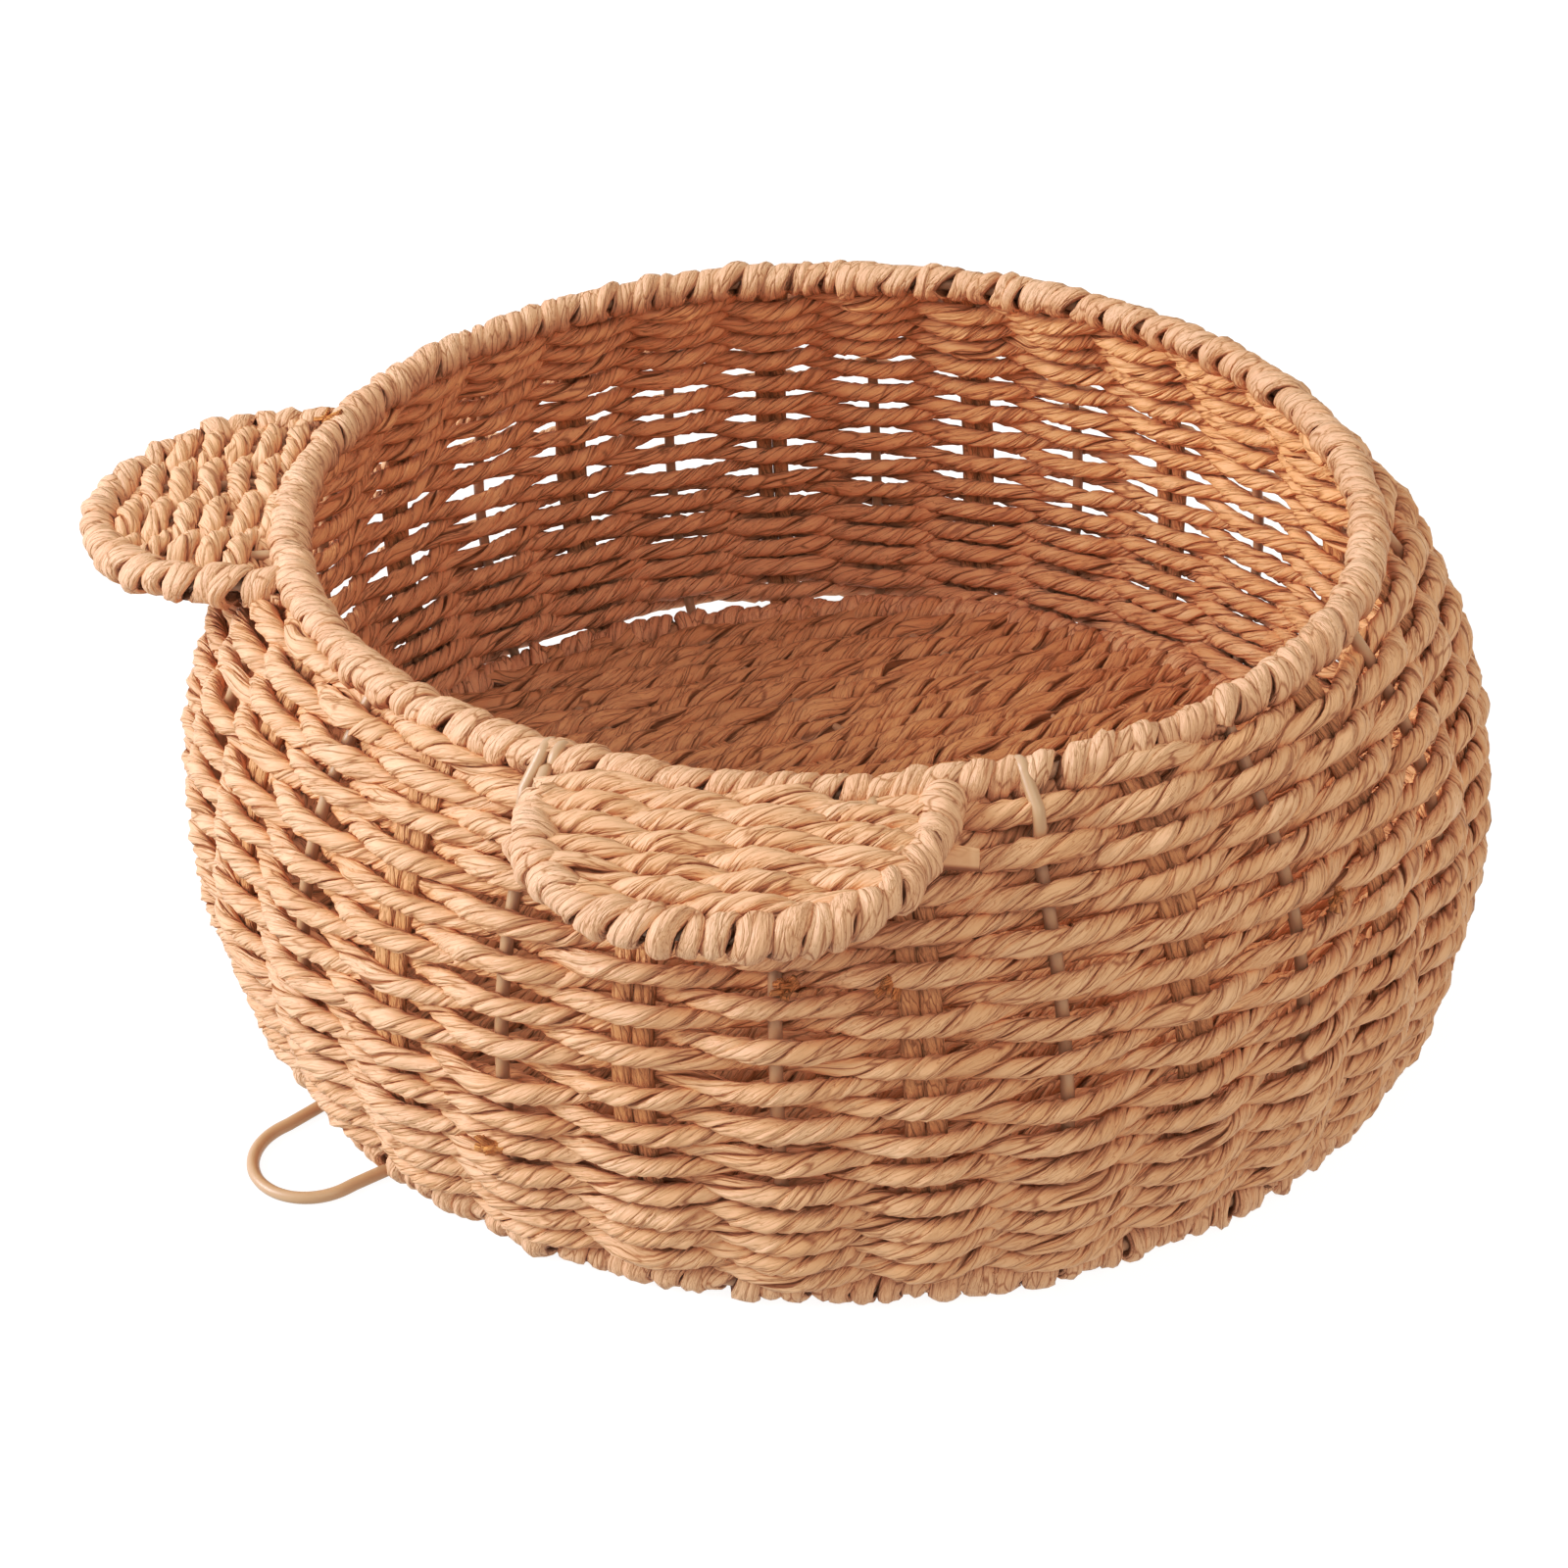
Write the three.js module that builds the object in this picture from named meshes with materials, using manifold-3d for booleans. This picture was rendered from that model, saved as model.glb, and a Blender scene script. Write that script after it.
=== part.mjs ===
// Round wall basket of twisted paper rope, woven on a welded frame of painted wire.
// It stands on its flat base with the mouth up. On a wall it hangs by the wire loop at -Y,
// with the base to the wall and the two ears on either side of the loop.
// Millimetres, +Z up, origin at the middle of the base's underside.

import * as THREE from 'three';
import { mergeVertices } from 'three/addons/utils/BufferGeometryUtils.js';
import Module from 'manifold-3d';

// Gaps
const clearance = 0.3;
const rowGap = 0.4;

// Outer sizes
const bellyDiameter = 300;
const bellyHeight = 43.5;
const baseDiameter = 282;
const rimDiameter = 237.2;
const rimHeight = 109.5;

// How the wall leaves the base and comes to the rim
const baseLean = THREE.MathUtils.degToRad(18);
const rimLean = THREE.MathUtils.degToRad(43);
const baseFullness = 0.3;
const lowerFullness = 0.4;
const upperFullness = 0.46;
const rimFullness = 0.3;

// Wires
const ringWire = 3.2;
const stakeWire = 2.8;
const earWire = 2.8;
const ribWire = 2.4;
const baseWire = 2.4;
const loopWire = 2.5;

// Paper
const paperCord = 2.4;
const ropeThickness = 3.8;
const ropeHeight = 3.4;
const rimWrapDiameter = 8.4;
const baseWrapDiameter = 8.8;
const earWrapDiameter = 6.8;
const baseThickness = 9.4;
const earThickness = 6.4;

// Counts and spacings
const stakeCount = 16;
const baseWireCount = 5;
const baseWireSpacing = 46;
const ribCount = 4;
const ribSpacing = 17;

// Ears and hanging loop
const earAngle = THREE.MathUtils.degToRad(41.5);
const earRadius = 41.5;
const earProud = 44.4;
const loopWidth = 26.5;
const loopProud = 25.5;
const loopDirection = -Math.PI / 2;

// Facets
const ringSteps = 64;
const wireSides = 6;
const ringSides = 5;
const stakeSteps = 6;
const arcSteps = 14;
const wrapSteps = 7;
const boreSteps = 5;
const loopLegSteps = 4;
const loopBendSteps = 8;
const mergeTolerance = 1e-4;

const wasm = await Module();
wasm.setup();

const paperMaterial = new THREE.MeshStandardMaterial({ color: 0xd9a679, roughness: 0.8, metalness: 0 });
const wireMaterial = new THREE.MeshStandardMaterial({ color: 0xb99b78, roughness: 0.35, metalness: 0 });

const basket = new THREE.Group();
const basketAxis = new THREE.Vector3(0, 0, 1);

function addPiece(name, geometry, material, parent = basket) {
  const piece = new THREE.Mesh(geometry, material);
  piece.name = name;
  parent.add(piece);
  return piece;
}

// Cutting: a closed geometry becomes a solid, is cut, and becomes a geometry again

function solidOf(geometry) {
  const bare = geometry.clone();
  bare.deleteAttribute('normal');
  bare.deleteAttribute('uv');
  const merged = mergeVertices(bare, mergeTolerance);
  const vertProperties = new Float32Array(merged.attributes.position.array);
  const triVerts = new Uint32Array(merged.index.array);
  return new wasm.Manifold(new wasm.Mesh({ numProp: 3, vertProperties, triVerts }));
}

function cut(geometry, cutters) {
  let solid = solidOf(geometry);
  for (const cutter of cutters) {
    solid = solid.subtract(solidOf(cutter));
  }
  const mesh = solid.getMesh();
  const result = new THREE.BufferGeometry();
  result.setAttribute('position', new THREE.BufferAttribute(mesh.vertProperties, 3));
  result.setIndex(new THREE.BufferAttribute(mesh.triVerts, 1));
  return result;
}

// Shapes that repeat

function roundSection(diameter, sides) {
  const points = [];
  for (let i = 0; i < sides; i += 1) {
    const angle = (i / sides) * 2 * Math.PI;
    points.push(new THREE.Vector2(Math.cos(angle), Math.sin(angle)).multiplyScalar(diameter / 2));
  }
  return new THREE.Shape(points);
}

// Two cords side by side, lying along the section's x
function pairSection(diameter) {
  const side = diameter;
  const shoulder = diameter / 2;
  const points = [
    [side, 0],
    [shoulder, shoulder],
    [-shoulder, shoulder],
    [-side, 0],
    [-shoulder, -shoulder],
    [shoulder, -shoulder],
  ];
  return new THREE.Shape(points.map(([x, y]) => new THREE.Vector2(x, y)));
}

function sweep(section, points, steps) {
  const extrudePath = new THREE.CatmullRomCurve3(points);
  return new THREE.ExtrudeGeometry(section, { steps, bevelEnabled: false, extrudePath });
}

function wireAlong(points, diameter, steps) {
  return sweep(roundSection(diameter, wireSides), points, steps);
}

function straightWire(from, to, diameter) {
  return wireAlong([from, to], diameter, 1);
}

function ring(radius, diameter, height) {
  const geometry = new THREE.TorusGeometry(radius, diameter / 2, ringSides, ringSteps);
  return geometry.translate(0, 0, height);
}

// A sleeve of binding round a ring, open along one side where the stakes come in
function slottedSleeve(radius, height, diameter, bore, slotHalf, slotAngle) {
  const outer = diameter / 2;
  const outerEdge = Math.asin(slotHalf / outer);
  const boreEdge = Math.asin(slotHalf / bore);
  const profile = [];
  const place = (size, angle) => {
    const out = radius + size * Math.cos(slotAngle + angle);
    profile.push(new THREE.Vector2(out, height + size * Math.sin(slotAngle + angle)));
  };
  for (let i = 0; i <= wrapSteps; i += 1) {
    place(outer, THREE.MathUtils.lerp(outerEdge, 2 * Math.PI - outerEdge, i / wrapSteps));
  }
  for (let i = boreSteps; i >= 0; i -= 1) {
    place(bore, THREE.MathUtils.lerp(boreEdge, 2 * Math.PI - boreEdge, i / boreSteps));
  }
  profile.push(profile[0].clone());
  return new THREE.LatheGeometry(profile, ringSteps).rotateX(Math.PI / 2);
}

// The wall: the line that every stake follows from the base ring to the rim ring

const stakeSpacing = Math.PI / stakeCount;
const rimRadius = rimDiameter / 2;
const baseRadius = (baseDiameter - baseWrapDiameter) / 2;
const baseRingHeight = baseThickness / 2;
const stakeReach = Math.max(stakeWire, paperCord) / 2;
const stakeHalfWidth = Math.max(stakeWire / 2, paperCord);
const closestStakes = rimRadius * stakeSpacing;
const weaveDepth = (stakeReach + clearance + ropeThickness / 2) / (1 - (2 * stakeHalfWidth) / closestStakes);
const bellyRadius = bellyDiameter / 2 - weaveDepth - ropeThickness / 2;

const lowerRise = bellyHeight - baseRingHeight;
const upperRise = rimHeight - bellyHeight;
const onWall = (out, up) => new THREE.Vector3(out, 0, up);
const basePoint = onWall(baseRadius, baseRingHeight);
const bellyPoint = onWall(bellyRadius, bellyHeight);
const rimPoint = onWall(rimRadius, rimHeight);
const leaveBase = onWall(Math.sin(baseLean), Math.cos(baseLean)).multiplyScalar(baseFullness * lowerRise);
const reachRim = onWall(Math.sin(rimLean), -Math.cos(rimLean)).multiplyScalar(rimFullness * upperRise);

const wallLine = new THREE.CurvePath();
wallLine.add(new THREE.CubicBezierCurve3(
  basePoint,
  basePoint.clone().add(leaveBase),
  onWall(bellyRadius, bellyHeight - lowerFullness * lowerRise),
  bellyPoint,
));
wallLine.add(new THREE.CubicBezierCurve3(
  bellyPoint,
  onWall(bellyRadius, bellyHeight + upperFullness * upperRise),
  rimPoint.clone().add(reachRim),
  rimPoint,
));
const wallLength = wallLine.getLength();

function wallAt(distance) {
  const share = THREE.MathUtils.clamp(distance / wallLength, 0, 1);
  const along = wallLine.getTangent(share);
  return { point: wallLine.getPoint(share), along, out: onWall(along.z, -along.x) };
}

function wallPoints(from, to) {
  const points = [];
  for (let i = 0; i <= stakeSteps; i += 1) {
    points.push(wallAt(THREE.MathUtils.lerp(from, to, i / stakeSteps)).point);
  }
  return points;
}

// The ear wires meet the rim ring just above the stakes' ends
const ringSeat = ringWire / 2 + clearance;
const stakeShoulder = stakeReach * Math.sin(rimLean) - ringSeat * Math.cos(rimLean);
const earHeight = rimHeight + Math.max(stakeShoulder + clearance + Math.max(earWire, ribWire) / 2, 0);

// Rings and stakes of the welded frame

addPiece('rim_ring', ring(rimRadius, ringWire, rimHeight), wireMaterial);
addPiece('base_ring', ring(baseRadius, ringWire, baseRingHeight), wireMaterial);

const stakeLine = wallPoints(ringSeat, wallLength - ringSeat);
for (let i = 0; i < stakeCount; i += 1) {
  const label = String(i + 1).padStart(2, '0');
  const bareWire = wireAlong(stakeLine, stakeWire, stakeSteps);
  const wireStake = addPiece(`wire_stake_${label}`, bareWire, wireMaterial);
  wireStake.rotation.z = 2 * i * stakeSpacing;
  const paperPair = sweep(pairSection(paperCord), stakeLine, stakeSteps);
  const paperStake = addPiece(`paper_stake_pair_${label}`, paperPair, paperMaterial);
  paperStake.rotation.z = (2 * i + 1) * stakeSpacing;
}

// Two rope weavers that chase each other up the wall: at each stake one passes outside while
// the other passes inside, and at the next stake they change over

const firstRow = baseWrapDiameter / 2 + clearance + ropeHeight / 2;
const belowRim = rimWrapDiameter / 2 + clearance + ropeHeight / 2;
const earUnderside = earHeight - Math.max(earThickness, earWrapDiameter) / 2 - 2 * clearance;
const bulgeRise = (weaveDepth + ropeThickness / 2) * Math.sin(rimLean);
const belowEar = (rimHeight - earUnderside + bulgeRise) / Math.cos(rimLean) + ropeHeight / 2;
const lastRow = wallLength - Math.max(belowRim, belowEar);
const turns = Math.floor(((lastRow - firstRow) / (ropeHeight + rowGap) - 1) / 2);
const rowPitch = (lastRow - firstRow) / (2 * turns + 1);

function weaver(startRow, firstSide) {
  const stops = turns * 2 * stakeCount;
  const sections = [];
  for (let stop = 0; stop <= stops; stop += 1) {
    const { point, along, out } = wallAt(firstRow + (startRow + stop / stakeCount) * rowPitch);
    const side = stop % 2 === 0 ? firstSide : -firstSide;
    const centre = point.clone().addScaledVector(out, side * weaveDepth);
    const corners = [[1, -1], [1, 1], [-1, 1], [-1, -1]].map(([across, up]) => centre.clone()
      .addScaledVector(out, (across * ropeThickness) / 2)
      .addScaledVector(along, (up * (rowPitch - rowGap)) / 2)
      .applyAxisAngle(basketAxis, stop * stakeSpacing));
    sections.push(corners);
  }
  return tubeThrough(sections);
}

// A closed tube through sections of four corners each
function tubeThrough(sections) {
  const sides = sections[0].length;
  const index = [];
  for (let i = 0; i + 1 < sections.length; i += 1) {
    for (let j = 0; j < sides; j += 1) {
      const near = i * sides + j;
      const beside = i * sides + ((j + 1) % sides);
      index.push(near, near + sides, beside, beside, near + sides, beside + sides);
    }
  }
  const last = (sections.length - 1) * sides;
  index.push(0, 1, 2, 0, 2, 3);
  index.push(last, last + 2, last + 1, last, last + 3, last + 2);
  const geometry = new THREE.BufferGeometry().setFromPoints(sections.flat());
  geometry.setIndex(index);
  return geometry;
}

addPiece('weaver_a', weaver(0, 1), paperMaterial);
addPiece('weaver_b', weaver(1, -1), paperMaterial);

// The bound rim: paper wound round the rim ring, open below for the stakes and cut for the ear wires

const slotHalf = stakeReach + clearance;
const boreFor = (wire) => Math.max(wire / 2 + clearance, slotHalf + clearance / 2);
const { along: intoRim } = wallAt(wallLength);
const rimSlot = Math.atan2(-intoRim.z, -intoRim.x);
const rimSleeve = slottedSleeve(rimRadius, rimHeight, rimWrapDiameter, boreFor(ringWire), slotHalf, rimSlot);

// Ears: a wire arc welded to the rim ring, ribs from ring to arc, a woven plate on the ribs and
// a paper binding round the arc. Each is drawn along +X and turned to its side of the loop

const rimFace = rimRadius + ringSeat;
const earCentre = rimRadius + earProud - earRadius;
const onEar = (out, aside) => new THREE.Vector3(out, aside, earHeight);

// Half the angle of an arc about the ear's centre that ends at a given distance from the axis
function earArcEnd(radius, fromAxis) {
  const cosine = (fromAxis ** 2 - earCentre ** 2 - radius ** 2) / (2 * earCentre * radius);
  return Math.acos(cosine);
}

function earArcPoints(radius, end) {
  const points = [];
  for (let i = 0; i <= arcSteps; i += 1) {
    const angle = THREE.MathUtils.lerp(-end, end, i / arcSteps);
    points.push(onEar(earCentre + radius * Math.cos(angle), radius * Math.sin(angle)));
  }
  return points;
}

const arcEnd = earArcEnd(earRadius, rimFace + clearance);
const earWrapEnd = earArcEnd(earRadius, rimRadius + (rimWrapDiameter + earWrapDiameter / 2) / 2);
const earArc = wireAlong(earArcPoints(earRadius, arcEnd), earWire, arcSteps);
const arcRoomEnd = earArcEnd(earRadius, rimRadius);
const earArcRoom = wireAlong(earArcPoints(earRadius, arcRoomEnd), earWire + 2 * clearance, arcSteps);

// A rib runs straight out from the rim ring to the ear's arc
function rib(aside) {
  const nearSide = Math.max(Math.abs(aside) - ribWire / 2, 0);
  const farSide = Math.abs(aside) + ribWire / 2;
  const start = Math.sqrt(rimFace ** 2 - nearSide ** 2);
  const end = earCentre + Math.sqrt((earRadius - earWire / 2 - clearance) ** 2 - farSide ** 2);
  return straightWire(onEar(start, aside), onEar(end, aside), ribWire);
}

// The room that a rib takes out of the paper, from the middle of the ring to the middle of the arc
function ribRoom(aside) {
  const start = Math.sqrt(rimRadius ** 2 - aside ** 2);
  const end = earCentre + Math.sqrt(earRadius ** 2 - aside ** 2);
  return straightWire(onEar(start, aside), onEar(end, aside), ribWire + 2 * clearance);
}

const ribPlaces = [];
for (let i = 0; i < ribCount; i += 1) {
  ribPlaces.push((i - (ribCount - 1) / 2) * ribSpacing);
}
const ribRooms = ribPlaces.map(ribRoom);

function earPlate() {
  const inner = earRadius - earWrapDiameter / 2 - clearance;
  const rimSide = rimRadius + rimWrapDiameter / 2 + clearance;
  const end = earArcEnd(inner, rimSide);
  const corner = Math.atan2(inner * Math.sin(end), earCentre + inner * Math.cos(end));
  const outline = new THREE.Shape();
  outline.absarc(earCentre, 0, inner, -end, end, false);
  outline.absarc(0, 0, rimSide, corner, -corner, true);
  const plate = new THREE.ExtrudeGeometry(outline, {
    depth: earThickness,
    bevelEnabled: false,
    curveSegments: arcSteps,
  });
  return plate.translate(0, 0, earHeight - earThickness / 2);
}

const earWeave = cut(earPlate(), ribRooms);
const earSleeve = wireAlong(earArcPoints(earRadius, earWrapEnd), earWrapDiameter, arcSteps);
const earBinding = cut(earSleeve, [earArcRoom, ...ribRooms]);

const rimCutters = [];
for (const [side, turn] of [['left', -earAngle], ['right', earAngle]]) {
  const ear = new THREE.Group();
  ear.rotation.z = loopDirection + turn;
  basket.add(ear);
  addPiece(`ear_wire_${side}`, earArc, wireMaterial, ear);
  ribPlaces.forEach((aside, i) => {
    addPiece(`ear_rib_${side}_${i + 1}`, rib(aside), wireMaterial, ear);
  });
  addPiece(`ear_weave_${side}`, earWeave, paperMaterial, ear);
  addPiece(`ear_binding_${side}`, earBinding, paperMaterial, ear);
  for (const room of [earArcRoom, ...ribRooms]) {
    rimCutters.push(room.clone().rotateZ(ear.rotation.z));
  }
}
addPiece('rim_binding', cut(rimSleeve, rimCutters), paperMaterial);

// Base: straight wires across the base ring, a woven disc on them and a paper binding round the ring

const baseFace = baseRadius - ringSeat;

function acrossBase(end, place, diameter) {
  const from = new THREE.Vector3(-end, place, baseRingHeight);
  return straightWire(from, new THREE.Vector3(end, place, baseRingHeight), diameter);
}

const baseRooms = [];
for (let i = 0; i < baseWireCount; i += 1) {
  const place = (i - (baseWireCount - 1) / 2) * baseWireSpacing;
  const end = Math.sqrt(baseFace ** 2 - (Math.abs(place) + baseWire / 2) ** 2);
  addPiece(`base_wire_${i + 1}`, acrossBase(end, place, baseWire), wireMaterial);
  const roomEnd = Math.sqrt(baseRadius ** 2 - place ** 2);
  baseRooms.push(acrossBase(roomEnd, place, baseWire + 2 * clearance));
}

const discRadius = baseRadius - baseWrapDiameter / 2 - clearance;
const disc = new THREE.CylinderGeometry(discRadius, discRadius, baseThickness, ringSteps);
disc.rotateX(Math.PI / 2).translate(0, 0, baseThickness / 2);
addPiece('base_weave', cut(disc, baseRooms), paperMaterial);

// Hanging loop: a U of wire with both ends welded to the base ring

function loopFrom(fromAxis, diameter) {
  const half = loopWidth / 2;
  const bendCentre = baseDiameter / 2 + loopProud - loopWire / 2 - half;
  const legStart = Math.sqrt(fromAxis ** 2 - half ** 2);
  const points = [];
  for (let i = 0; i < loopLegSteps; i += 1) {
    points.push([THREE.MathUtils.lerp(legStart, bendCentre, i / loopLegSteps), -half]);
  }
  for (let i = 0; i <= loopBendSteps; i += 1) {
    const angle = THREE.MathUtils.lerp(-Math.PI / 2, Math.PI / 2, i / loopBendSteps);
    points.push([bendCentre + half * Math.cos(angle), half * Math.sin(angle)]);
  }
  for (let i = loopLegSteps - 1; i >= 0; i -= 1) {
    points.push([THREE.MathUtils.lerp(legStart, bendCentre, i / loopLegSteps), half]);
  }
  const places = points.map(([out, aside]) => new THREE.Vector3(out, aside, baseRingHeight));
  return wireAlong(places, diameter, 2 * loopLegSteps + loopBendSteps).rotateZ(loopDirection);
}

addPiece('hanging_loop', loopFrom(baseRadius + ringSeat + clearance, loopWire), wireMaterial);
baseRooms.push(loopFrom(baseRadius, loopWire + 2 * clearance));

const { along: outOfBase } = wallAt(0);
const baseSlot = Math.atan2(outOfBase.z, outOfBase.x);
const baseBore = boreFor(ringWire);
const baseSleeve = slottedSleeve(baseRadius, baseRingHeight, baseWrapDiameter, baseBore, slotHalf, baseSlot);
addPiece('base_binding', cut(baseSleeve, baseRooms), paperMaterial);

export default basket;
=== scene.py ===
"""A round wall basket of twisted paper rope, woven on a frame of painted wire."""

import math

import bpy
import numpy as np
from mathutils import Matrix, Vector


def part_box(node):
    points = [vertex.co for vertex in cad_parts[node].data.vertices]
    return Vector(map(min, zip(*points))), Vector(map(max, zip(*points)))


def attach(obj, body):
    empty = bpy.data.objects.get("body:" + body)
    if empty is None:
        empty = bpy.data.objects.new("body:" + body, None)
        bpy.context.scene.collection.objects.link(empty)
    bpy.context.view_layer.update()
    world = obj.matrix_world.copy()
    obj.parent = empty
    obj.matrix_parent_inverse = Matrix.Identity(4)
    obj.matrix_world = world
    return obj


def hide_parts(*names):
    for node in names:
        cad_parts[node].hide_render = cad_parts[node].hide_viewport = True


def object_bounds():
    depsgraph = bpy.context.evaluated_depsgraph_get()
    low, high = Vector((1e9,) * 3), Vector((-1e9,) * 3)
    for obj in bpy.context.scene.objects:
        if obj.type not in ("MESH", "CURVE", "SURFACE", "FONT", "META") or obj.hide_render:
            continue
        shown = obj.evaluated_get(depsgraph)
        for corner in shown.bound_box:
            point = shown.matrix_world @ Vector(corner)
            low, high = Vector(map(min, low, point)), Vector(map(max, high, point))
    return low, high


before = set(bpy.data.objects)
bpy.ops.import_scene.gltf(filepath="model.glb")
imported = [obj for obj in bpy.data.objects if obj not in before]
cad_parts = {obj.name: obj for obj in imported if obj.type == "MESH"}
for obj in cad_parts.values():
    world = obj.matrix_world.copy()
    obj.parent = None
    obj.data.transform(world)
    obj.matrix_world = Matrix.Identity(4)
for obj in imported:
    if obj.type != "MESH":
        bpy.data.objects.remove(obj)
cad_low, cad_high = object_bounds()
mm = 0.001


# Camera
# It looks down into the mouth from the right of the hanging loop, with the wall's front
# and both ears in view.

camera_place = Vector((438.1, -374.2, 416.9)) * mm
camera_turn = math.radians(50.70)
camera_dip = math.radians(33.676)
camera_roll = math.radians(-0.906)

camera_data = bpy.data.cameras.new("camera")
camera_data.sensor_width = 36
camera_data.lens = 67.055
camera = bpy.data.objects.new("camera", camera_data)
camera.matrix_world = (
    Matrix.Translation(camera_place)
    @ Matrix.Rotation(camera_turn, 4, "Z")
    @ Matrix.Rotation(math.pi / 2 - camera_dip, 4, "X")
    @ Matrix.Rotation(camera_roll, 4, "Z")
)
bpy.context.scene.collection.objects.link(camera)
bpy.context.scene.camera = camera


# Studio
# A lit white table that runs out of sight in a white room, with a large soft light on the
# camera's left and a weak warm one above its right. The picture has a firm contrast.

left_of_camera = Vector((-0.65, -0.76, 0))
towards_camera = Vector((0.76, -0.65, 0))
up = Vector((0, 0, 1))
studio_middle = Vector((0, 0, 60 * mm))


def add_node(tree, kind, inputs=(), **settings):
    """A shader node with its settings, and its inputs given by value or linked to a socket."""
    made = tree.nodes.new(kind)
    for key, value in settings.items():
        setattr(made, key, value)
    for key, value in dict(inputs).items():
        if isinstance(value, bpy.types.NodeSocket):
            tree.links.new(value, made.inputs[key])
        else:
            made.inputs[key].default_value = value
    return made


def ranged(tree, value, from_min, from_max, to_min=0.0, to_max=1.0, smooth=True):
    """A value taken smoothly or straight from one range to another."""
    kind = "SMOOTHSTEP" if smooth else "LINEAR"
    return add_node(tree, "ShaderNodeMapRange", {
        "Value": value, "From Min": from_min, "From Max": from_max, "To Min": to_min, "To Max": to_max,
    }, interpolation_type=kind).outputs["Result"]


def new_finish(name):
    """An empty material with its node tree and its Principled shader."""
    finish = bpy.data.materials.new(name)
    finish.use_nodes = True
    tree = finish.node_tree
    return finish, tree, tree.nodes["Principled BSDF"]


def soft_light(name, place, size, watts, tint):
    """A round lamp that faces the basket."""
    lamp = bpy.data.lights.new(name, "AREA")
    lamp.shape = "DISK"
    lamp.size = size
    lamp.energy = watts
    lamp.color = tint
    light = bpy.data.objects.new(name, lamp)
    light.location = place
    light.rotation_mode = "QUATERNION"
    light.rotation_quaternion = (studio_middle - place).to_track_quat("-Z", "Y")
    bpy.context.scene.collection.objects.link(light)


key_place = left_of_camera * 1.05 + towards_camera * 0.2 + up * 0.67
fill_place = left_of_camera * -0.4 + towards_camera * 0.75 + up * 0.85
soft_light("key", key_place, size=0.8, watts=15.2, tint=(0.97, 0.98, 1))
soft_light("fill", fill_place, size=0.6, watts=1.6, tint=(1, 0.93, 0.84))

room = bpy.data.worlds.new("white_room")
room.use_nodes = True
room_glow = room.node_tree.nodes["Background"]
room_glow.inputs["Color"].default_value = (1, 0.965, 0.90, 1)
looking = add_node(room.node_tree, "ShaderNodeTexCoord").outputs["Generated"]
looking_up = add_node(room.node_tree, "ShaderNodeSeparateXYZ", {"Vector": looking}).outputs["Z"]
from_below, from_above = 0.68, 0.79
horizon = 0.1
glow = ranged(room.node_tree, looking_up, -horizon, horizon, from_below, from_above)
room.node_tree.links.new(glow, room_glow.inputs["Strength"])
bpy.context.scene.world = room

picture = bpy.context.scene.view_settings
picture.view_transform = "Standard"
picture.look = "None"
picture.use_curve_mapping = True
all_colours = 3
contrast = picture.curve_mapping.curves[all_colours]
darker_shadows = ((0.06, 0.034), (0.14, 0.092), (0.23, 0.185), (0.40, 0.39), (0.75, 0.75))
for light_in, light_out in darker_shadows:
    contrast.points.new(light_in, light_out)
picture.curve_mapping.update()


def lit_table():
    finish, tree, shader = new_finish("lit_table")
    speckle = add_node(tree, "ShaderNodeTexNoise", {"Scale": 40.0, "Detail": 3.0}).outputs["Fac"]
    tree.links.new(ranged(tree, speckle, 0.0, 1.0, 0.19, 0.21), shader.inputs["Base Color"])
    shader.inputs["Roughness"].default_value = 0.9
    shader.inputs["Specular IOR Level"].default_value = 0.0
    shader.inputs["Emission Color"].default_value = (1, 1, 1, 1)
    shader.inputs["Emission Strength"].default_value = 0.9
    return finish


half_table = 6.0
table_corners = [
    (x * half_table, y * half_table, cad_low.z) for x, y in ((-1, -1), (1, -1), (1, 1), (-1, 1))]
table_mesh = bpy.data.meshes.new("table")
table_mesh.from_pydata(table_corners, [], [(0, 1, 2, 3)])
table_mesh.materials.append(lit_table())
table = bpy.data.objects.new("table", table_mesh)
table.visible_diffuse = False
bpy.context.scene.collection.objects.link(table)


# Wire frame
# Steel wire in glossy khaki enamel, bent and spot welded: a ring at the rim and one at the
# base, sixteen stakes up the wall, straight wires across the base, and an arc with four ribs
# for each ear.

ring_wire = 3.2 * mm
stake_wire = 2.8 * mm
ear_wire = 2.8 * mm
rib_wire = 2.4 * mm
wire_sides = 12
lean = 4.5 * mm
lean_start = 3.1 * mm


def unit(vectors):
    return vectors / np.linalg.norm(vectors, axis=-1, keepdims=True)


def directions(line, closed=False):
    """The way that a line of points runs at each of them."""
    if closed:
        return unit(np.roll(line, -1, 0) - np.roll(line, 1, 0))
    return unit(np.gradient(line, axis=0))


def travel_along(line):
    steps = np.linalg.norm(np.diff(line, axis=0), axis=1)
    return np.concatenate([[0], np.cumsum(steps)])


def squared_to(line, outward, closed=False):
    """Two unit directions at each point of a line: outward from it, and across both."""
    forward = directions(line, closed)
    outward = np.broadcast_to(outward, line.shape)
    out = unit(outward - forward * np.sum(outward * forward, axis=1, keepdims=True))
    return out, np.cross(forward, out)


def middle_height(name):
    low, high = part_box(name)
    return (low.z + high.z) / 2


# The base sits a little towards the camera, and is bent in on the far side, clear of the wall

base_shift = np.array(towards_camera) * 4 * mm
near_side = math.atan2(towards_camera.y, towards_camera.x)
far_side = math.radians(152)
far_bend = 5.5 * mm
bend_sharpness = 20
rim_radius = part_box("rim_ring")[1].x - ring_wire / 2
rim_height = middle_height("rim_ring")
base_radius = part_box("base_ring")[1].x - ring_wire / 2
base_height = middle_height("base_ring")


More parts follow.
